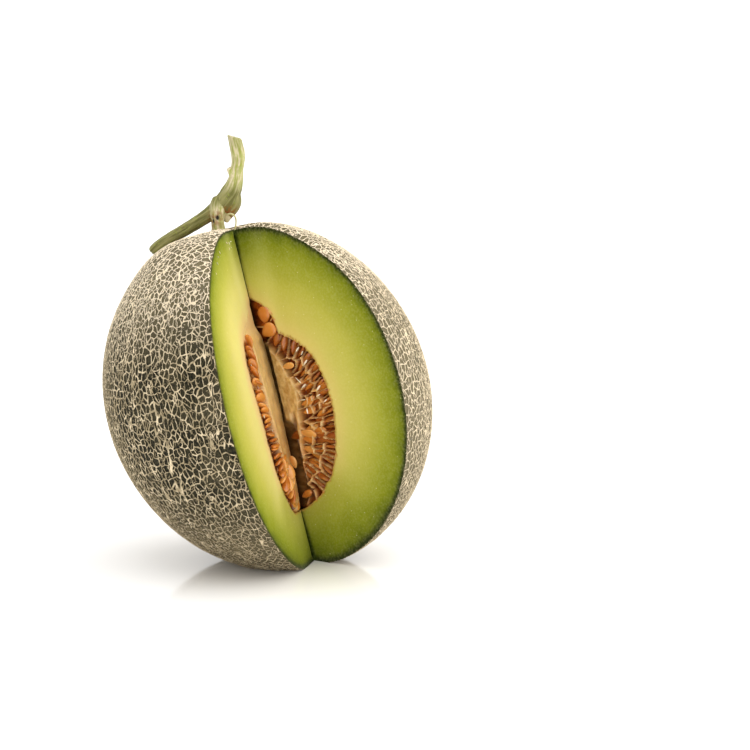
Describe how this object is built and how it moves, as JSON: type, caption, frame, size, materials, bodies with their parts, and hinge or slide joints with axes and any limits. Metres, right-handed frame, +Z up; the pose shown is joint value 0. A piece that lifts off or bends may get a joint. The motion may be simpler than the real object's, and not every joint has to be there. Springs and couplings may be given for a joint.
{
  "type": "cut melon",
  "caption": "Netted green-fleshed melon standing on end with one wedge cut out of it, showing the flesh, the hollow with its pulp and seeds, and a T-shaped piece of vine on its stalk.",
  "frame": {"origin": "on the flat spot that the melon stands on, near the spot's middle", "axes": "+Z up, against the floor's pull; -Y towards the middle of the missing wedge; the stalk leans back and to the left, towards -X and +Y"},
  "size_m": [0.1498, 0.1364, 0.1943],
  "materials": {
    "rind": "matte",
    "flesh": "satin",
    "pulp_and_seeds": "gloss",
    "vine": "matte"
  },
  "bodies": {
    "root": {"melon": "rind", "seed_mass": "pulp_and_seeds", "stem": "vine"}
  },
  "joints": []
}
